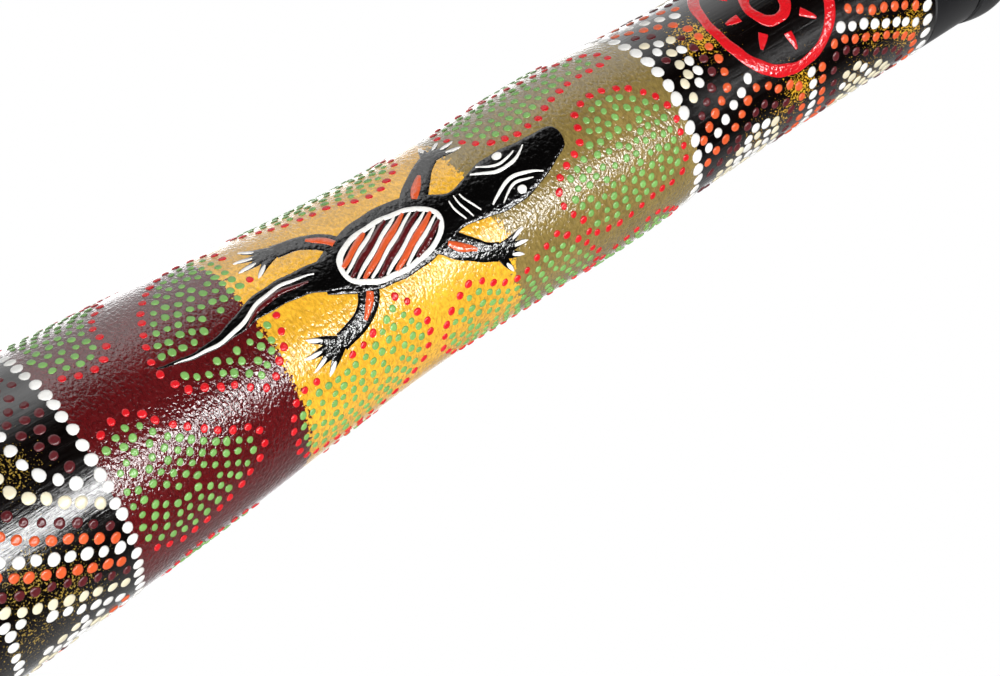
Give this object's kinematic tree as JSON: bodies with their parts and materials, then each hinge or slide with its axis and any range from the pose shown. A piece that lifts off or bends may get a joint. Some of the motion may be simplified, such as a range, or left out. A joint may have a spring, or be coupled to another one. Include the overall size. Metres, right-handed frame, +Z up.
{
  "type": "didgeridoo",
  "caption": "Moulded didgeridoo: a flared tube with painted dot bands, a bonded end collar and a pull-out rounded mouthpiece on rubber seal rings.",
  "frame": {"origin": "centre of the bell's end face, on the surface that the instrument stands on", "axes": "+Z up the air column from the bell to the mouthpiece; -Y is the painted side that carries the lizard; +X is to the right of it"},
  "size_m": [0.1157, 0.1156, 1.2],
  "materials": {
    "painted_tube": "moulded tube with brushed, spattered and dotted acrylic paint under gloss varnish",
    "collar_plastic": "smooth black satin moulding",
    "mouthpiece_plastic": "smooth black satin moulding",
    "seal_rubber": "smooth black rubber"
  },
  "bodies": {
    "root": {"body_tube": "painted_tube", "end_collar": "collar_plastic"},
    "seal_rings": {"upper_seal_ring": "seal_rubber", "lower_seal_ring": "seal_rubber"},
    "mouthpiece": {"mouthpiece": "mouthpiece_plastic"}
  },
  "joints": [
    {"name": "mouthpiece_pull", "type": "slide", "parent": "root", "child": "seal_rings", "axis": [0, 0, 1], "range_m": [0, 0.05]},
    {"name": "mouthpiece_twist", "type": "hinge", "parent": "seal_rings", "child": "mouthpiece", "pos_m": [0, 0, 1.186], "axis": [0, 0, 1], "continuous": true}
  ]
}
